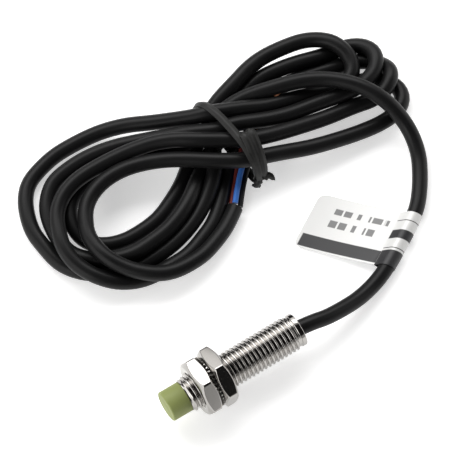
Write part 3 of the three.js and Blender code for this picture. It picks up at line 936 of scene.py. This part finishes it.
def label_finish():
    f = Finish("label_film")
    uv = f.add("ShaderNodeUVMap", uv_map="strip")[0]
    parts = f.add("ShaderNodeSeparateXYZ", {0: uv})
    along, out = parts[0] * label_width, parts[1]  # millimetres along the cable and from it
    soft = 0.12
    flag = out.above(2.6, 0.1)
    wrap = 1 - flag
    foot = 1 - along.above(3.7, soft)
    line_a = along.between(4.2, 4.4, 0.08)
    block = along.between(6.7, 8.9, soft)
    line_b = along.between(11.2, 11.4, 0.08)
    on_wrap = foot.math("MAXIMUM", line_a).math("MAXIMUM", block).math("MAXIMUM", line_b) * wrap
    bar = along.between(0.45, 3.5, soft) * (1 - out.above(label_reach - 0.7, 0.2)) * flag
    # two rows of plain blocks of uneven width stand where a maker prints its words
    step = {"W": (out * 2.4).math("FLOOR")}
    strokes = f.add("ShaderNodeTexWhiteNoise", step, noise_dimensions="1D")[0]
    low_row = along.between(6.3, 8.0, soft) * out.between(6, 16.5, 0.1)
    high_row = along.between(9.5, 10.9, soft) * out.between(4, 16, 0.1)
    rows = low_row.math("MAXIMUM", high_row) * strokes.above(0.38, 0.02) * flag
    ink = on_wrap.math("MAXIMUM", bar).math("MAXIMUM", rows * 0.75)
    cloud = f.noise(90, 3)
    film = f.mix(cloud, rgb(0.66, 0.66, 0.65), rgb(0.76, 0.76, 0.75))
    f.feed("Base Color", f.mix(ink, film, rgb(0.018, 0.018, 0.02)))
    f.feed("Metallic", (1 - ink) * 0.1)
    f.feed("Roughness", 0.3 + cloud * 0.12 + ink * 0.1)
    f.bump(cloud, 0.00006, 0.5)
    return f.material


def make_label():
    places = distances(cable_line)

    def at(distance):
        """The middle of the cable, that far along it from the collar."""
        place = bush_depth + distance
        return Vector([np.interp(place, places, cable_line[:, k]) for k in range(3)])

    rows = 28
    start, end = at(label_start), at(label_start + label_width)
    along = (start - end).normalized()
    level = Vector((along.y, -along.x, 0)).normalized()
    middle = (start + end) / 2
    dip = asin((middle.z - 0.5) / label_reach)
    lean = level * cos(radians(label_skew)) + along * sin(radians(label_skew))
    out = lean * cos(dip) - Vector((0, 0, sin(dip)))
    up = along.cross(out).normalized()
    wrap_radius = cable_diameter / 2 + 0.1
    open_angle = radians(48)
    pinch = wrap_radius / cos(open_angle)
    arc = [open_angle + (2 * pi - 2 * open_angle) * i / 40 for i in range(41)]
    lay = film_thickness / 2 + 0.01
    points, uvs = [], []
    for i in range(rows + 1):
        s = i / rows
        edge = min(s, 1 - s) * label_width
        inset = label_corner - sqrt(max(0, label_corner**2 - max(0, label_corner - edge) ** 2))
        reach = label_reach - inset
        on_cable, on_chord = at(label_start + s * label_width), start.lerp(end, s)
        flag = [pinch + (reach - pinch) * k / 16 for k in range(16, 0, -1)]
        section = [(a, lay, a) for a in flag] + [(pinch, lay, pinch)]
        section += [(wrap_radius * cos(t), wrap_radius * sin(t), 0) for t in arc]
        section += [(pinch, -lay, pinch)] + [(a, -lay, a) for a in reversed(flag)]
        for a, b, distance in section:
            straight = min(1, max(0, (a - 2) / 5))
            curl = 0.5 * sin(pi * max(0, a - pinch) / label_reach)
            points.append(on_cable.lerp(on_chord, straight) + out * a + up * (b + curl))
            uvs.append((s, distance))
    count = len(points) // (rows + 1)
    faces, corners_uv = [], []
    for i in range(rows):
        for j in range(count - 1):
            face = (i * count + j, i * count + j + 1, (i + 1) * count + j + 1, (i + 1) * count + j)
            faces.append(face)
            corners_uv.extend(uvs[k] for k in face)
    mesh = bpy.data.meshes.new("label_strip")
    mesh.from_pydata([p * MM for p in points], [], faces)
    mesh.materials.append(label_finish())
    layer = mesh.uv_layers.new(name="strip")
    layer.data.foreach_set("uv", [x for uv in corners_uv for x in uv])
    label = bpy.data.objects.new("label_strip", mesh)
    bpy.context.collection.objects.link(label)
    wall = label.modifiers.new("film", "SOLIDIFY")
    wall.thickness, wall.offset = film_thickness * MM, 0
    return shaded(settled_mesh(label), 50)


label = make_label()
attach(label, "sensor")
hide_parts("cable_label")
print(f"label {label_width} by {label_reach} mm")

# %% [markdown]
# ## The wire tie
#
# A twist tie is a soft iron wire between two strips of plastic, so its section is flat with a
# ridge down the middle. It goes once round the waist of the hank, doubles back over the near side,
# and is twisted there, with its two cut ends standing off. The section is swept along each
# route, with its flat side given for every point, so that it lies on the strands.

# %% Tie
tie_width = 1.9
tie_thickness = 0.55
tie_ridge = 0.42
ridge_half_width = 0.42
tie_step = 0.35


def ribbon(points, sides, twist):
    """Loops of the tie's section along points. sides gives its width's direction on the way."""
    path = evenly(smooth(np.array(points, float)), tie_step)
    share = np.linspace(0, 1, len(path))
    given = np.linspace(0, 1, len(sides))
    across = np.stack([np.interp(share, given, np.array(sides, float)[:, k]) for k in range(3)], 1)
    along = np.gradient(path, axis=0)
    along /= np.linalg.norm(along, axis=1)[:, None]
    across -= (across * along).sum(1)[:, None] * along
    across /= np.linalg.norm(across, axis=1)[:, None]
    outward = np.cross(along, across)
    turn = radians(twist) * share[:, None]
    wide = across * np.cos(turn) + outward * np.sin(turn)
    thick = np.cross(along, wide)
    loops = []
    section = [2 * pi * k / 20 for k in range(20)]
    for centre, w, n in zip(path, wide, thick):
        loop = []
        for a in section:
            x = cos(a) * tie_width / 2
            y = sin(a) * tie_thickness / 2
            y += np.sign(sin(a)) * tie_ridge / 2 * max(0, 1 - (x / ridge_half_width) ** 2) ** 0.5
            loop.append(centre + w * x + n * y)
        loops.append(loop)
    return loops


def capped(loops):
    """A closed skin over loops, with its two ends filled."""
    points, faces = rings(loops)
    count = len(loops[0])
    faces.append(tuple(reversed(range(count))))
    last = len(points) - count
    faces.append(tuple(last + j for j in range(count)))
    return points, faces


def tie_finish():
    f = Finish("tie_plastic", **{"Specular IOR Level": 0.25})
    mottle, grain = f.noise(300, 3), f.noise(2600, 2)
    f.feed("Base Color", f.mix(mottle, rgb(0.008, 0.008, 0.008), rgb(0.022, 0.022, 0.021)))
    f.feed("Roughness", 0.38 + grain * 0.14)
    f.bump(grain * 0.5 + mottle * 0.5, 0.00004, 0.4)
    return f.material


tie_routes = [
    # round the waist, starting and ending at the knot
    (
        [
            (-28.6, -35.1, 3.2), (-28.5, -34.8, 6), (-28.4, -36.2, 9.6), (-28.3, -39.4, 11.7),
            (-28, -44, 11.6), (-27.4, -49, 11.2), (-26.6, -52.6, 10), (-26, -54.4, 7.6),
            (-26.2, -54.9, 4.2), (-26.8, -54, 1.3), (-27.4, -50, 0.6), (-28, -44, 0.6),
            (-28.4, -38.4, 0.6), (-28.6, -35.5, 1.1), (-28.7, -34.7, 2.4),
        ],
        [(1, 0, 0)] * 3,
        0,
    ),
    # the two strands of the loop that hooks over the near side
    (
        [(-29.1, -41.9, 11.6), (-29.2, -41, 12.7), (-29.1, -38.9, 12.2), (-28.9, -36.2, 9.8),
         (-28.8, -34.4, 6.4), (-28.8, -34, 3.6)],
        [(1, 0, 0)] * 3,
        0,
    ),
    (
        [(-30.6, -41.9, 11.6), (-30.8, -41, 12.7), (-30.6, -38.9, 12.2), (-30.3, -36.2, 9.8),
         (-29.9, -34.4, 6.4), (-29.5, -34, 3.6)],
        [(1, 0, 0)] * 3,
        0,
    ),
    # the twisted ends
    (
        [(-28.9, -34.7, 4.2), (-29.8, -34, 4.2), (-30.8, -33.7, 3.6), (-31.4, -33.3, 2.6)],
        [(0, 0.3, 1), (0, 0.3, 1)],
        200,
    ),
    (
        [(-29, -34.6, 4), (-28.2, -33.9, 3.3), (-27.8, -33.7, 2.5), (-27.7, -34.1, 1.6)],
        [(0, 0.3, 1), (0, 0.3, 1)],
        -220,
    ),
]


def make_tie():
    points, faces = [], []
    for route, sides, twist in tie_routes:
        more, skins = capped(ribbon(route, sides, twist))
        faces += [tuple(k + len(points) for k in face) for face in skins]
        points += more
    return piece_from("wire_tie", points, faces, tie_finish(), 60)


tie = make_tie()
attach(tie, "sensor")
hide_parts("twist_tie")
print(f"tie of {len(tie_routes)} lengths, {len(tie.data.polygons)} faces")

# %% [markdown]
# ## The cord's facts
#
# Where the cable leaves the barrel, and the line that it follows, in metres. Its far end is bare,
# as a sensor's is: the installer wires it.

rear_x * MM
axis_z * MM
[tuple(point * MM) for point in cable_line]

# %% [markdown]
# ## Finishes of the parts inside
#
# The parts in the barrel keep their CAD shapes and get their own finishes: ferrite, copper wire,
# board laminate, chips, ceramic, resin and rubber. Each is one shader with a colour that varies a
# little and a grain at its own scale.


# %% Inner finishes
def plain_finish(name, color, second, roughness, grain_scale):
    f = Finish(name)
    patches, grain = f.noise(grain_scale / 8, 3), f.noise(grain_scale, 2)
    f.feed("Base Color", f.mix(patches, color, second))
    f.feed("Roughness", roughness + grain * 0.12)
    f.bump(grain, 0.00001, 0.4)
    return f.material


def winding_finish():
    f = Finish("coil_wire", Metallic=1.0)
    place = f.add("ShaderNodeSeparateXYZ", {0: f.coords})
    turns_of_wire = ((place[0] * 12000) % 1 - 0.5).math("ABSOLUTE")
    f.feed("Base Color", f.mix(turns_of_wire, rgb(0.5, 0.17, 0.06), rgb(0.8, 0.36, 0.16)))
    f.feed("Roughness", 0.25 + f.noise(2000, 2) * 0.15)
    f.bump(turns_of_wire, 0.00003, 0.6)
    return f.material


def laminate_finish():
    f = Finish("board_laminate", **{"Coat Weight": 0.3})
    place = f.add("ShaderNodeSeparateXYZ", {0: f.coords})
    weave = (place[0] * 9000).math("SINE") * (place[1] * 9000).math("SINE")
    f.feed("Base Color", f.mix(weave * 0.5 + 0.5, rgb(0.01, 0.12, 0.04), rgb(0.02, 0.19, 0.07)))
    f.feed("Roughness", 0.35 + f.noise(1200, 2) * 0.15)
    f.bump(weave, 0.000008, 0.5)
    return f.material


inner_finishes = {
    "ferrite": plain_finish("ferrite", rgb(0.02, 0.02, 0.022), rgb(0.05, 0.05, 0.052), 0.55, 3000),
    "bobbin_plastic": plain_finish(
        "bobbin", rgb(0.7, 0.66, 0.54), rgb(0.78, 0.75, 0.64), 0.45, 2000
    ),
    "enamelled_copper": winding_finish(),
    "board_laminate": laminate_finish(),
    "chip_black": plain_finish("chip", rgb(0.01, 0.01, 0.011), rgb(0.03, 0.03, 0.03), 0.5, 4000),
    "ceramic_tan": plain_finish("ceramic", rgb(0.42, 0.27, 0.13), rgb(0.52, 0.36, 0.2), 0.4, 2500),
    "potting_resin": plain_finish(
        "resin", rgb(0.012, 0.014, 0.018), rgb(0.03, 0.034, 0.04), 0.3, 1500
    ),
    "bush_rubber": plain_finish("bush", rgb(0.01, 0.01, 0.01), rgb(0.03, 0.03, 0.03), 0.6, 2800),
    "wire_brown": plain_finish("lead_brown", *wire_colors["brown"], 0.38, 2500),
    "wire_blue": plain_finish("lead_blue", *wire_colors["blue"], 0.38, 2500),
    "wire_black": plain_finish("lead_black", *wire_colors["black"], 0.38, 2500),
}
inner_nodes = {
    "ferrite_core": "ferrite", "coil_bobbin": "bobbin_plastic", "coil_winding": "enamelled_copper",
    "circuit_board": "board_laminate", "tank_capacitor": "ceramic_tan",
    "supply_capacitor": "ceramic_tan", "gain_resistor": "chip_black",
    "pull_up_resistor": "chip_black", "control_chip": "chip_black",
    "output_transistor": "chip_black", "reverse_diode": "chip_black",
    "potting_resin": "potting_resin", "rear_bush": "bush_rubber",
    "inner_wire_brown": "wire_brown", "inner_wire_blue": "wire_blue",
    "inner_wire_black": "wire_black",
}
for node, slot in inner_nodes.items():
    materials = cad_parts[node].data.materials
    materials.clear()
    materials.append(inner_finishes[slot])
print(f"{len(inner_nodes)} inner parts finished")

# %% [markdown]
# ## Table and light
#
# The object lies on a plain white table. Bright metal only looks like metal when it has dark and
# bright things to reflect, so the room is dark apart from four panels: a bright one behind the
# object, which gives the long white band on the barrel and the upper flats, a dim low wall on the
# near side, and one beyond each end of the barrel. Two soft boxes light the object itself. The
# table glows, as a light table does, which keeps the shadows pale.


# %% Table, room and lamps
def make_table():
    half = 0.9
    mesh = bpy.data.meshes.new("table")
    outline = [(-half, -half, 0), (half, -half, 0), (half, half, 0), (-half, half, 0)]
    mesh.from_pydata(outline, [], [(0, 1, 2, 3)])
    table = bpy.data.objects.new("table", mesh)
    glow = {"Emission Strength": 0.5, "Emission Color": (1, 1, 1, 1)}
    f = Finish("table_top", Roughness=0.9, **glow)
    f.feed("Base Color", f.mix(f.noise(6, 2), rgb(0.84, 0.84, 0.84), rgb(0.88, 0.88, 0.88)))
    mesh.materials.append(f.material)
    bpy.context.collection.objects.link(table)


def make_room():
    world = bpy.data.worlds.new("room")
    bpy.context.scene.world = world
    world.use_nodes = True
    t = Tree(world.node_tree)
    t.tree.nodes.clear()
    direction = t.add("ShaderNodeTexCoord")["Generated"]

    def towards(x, y, z):
        pair = {0: direction, 1: (x, y, z)}
        return t.add("ShaderNodeVectorMath", pair, operation="DOT_PRODUCT")["Value"]

    height = towards(0, 0, 1)
    behind = towards(-0.1, -0.995, 0).above(0.35, 0.4) * height.above(0.3, 0.12)
    near_wall = towards(-0.1, 0.995, 0).above(0.8, 0.1) * (1 - height.above(0.32, 0.1))
    rear_side = towards(-0.96, 0.2, 0.2).above(0.9, 0.1)
    tip_side = towards(0.95, 0.05, 0.3).above(0.84, 0.08)
    glow = behind * 1.5 + near_wall * 0.5 + rear_side * 1.5 + tip_side * 2 + 0.015
    sky = t.add("ShaderNodeBackground", {"Color": rgb(1, 0.99, 0.98), "Strength": glow})[0]
    t.add("ShaderNodeOutputWorld", {"Surface": sky})


def softbox(name, towards, distance, size, power):
    middle = Vector((-0.02, -0.03, 0))
    place = middle + Vector(towards).normalized() * distance
    lamp = bpy.data.lights.new(name, "AREA")
    lamp.shape, lamp.size, lamp.size_y, lamp.energy = "RECTANGLE", *size, power
    box = bpy.data.objects.new(name, lamp)
    box.location = place
    box.rotation_euler = (middle - place).to_track_quat("-Z", "Y").to_euler()
    bpy.context.collection.objects.link(box)


make_table()
make_room()
softbox("back_box", (-0.2, -0.58, 0.79), 0.75, (0.95, 0.36), 3.6)
softbox("tip_box", (0.75, 0.4, 0.5), 0.75, (0.4, 0.4), 0.5)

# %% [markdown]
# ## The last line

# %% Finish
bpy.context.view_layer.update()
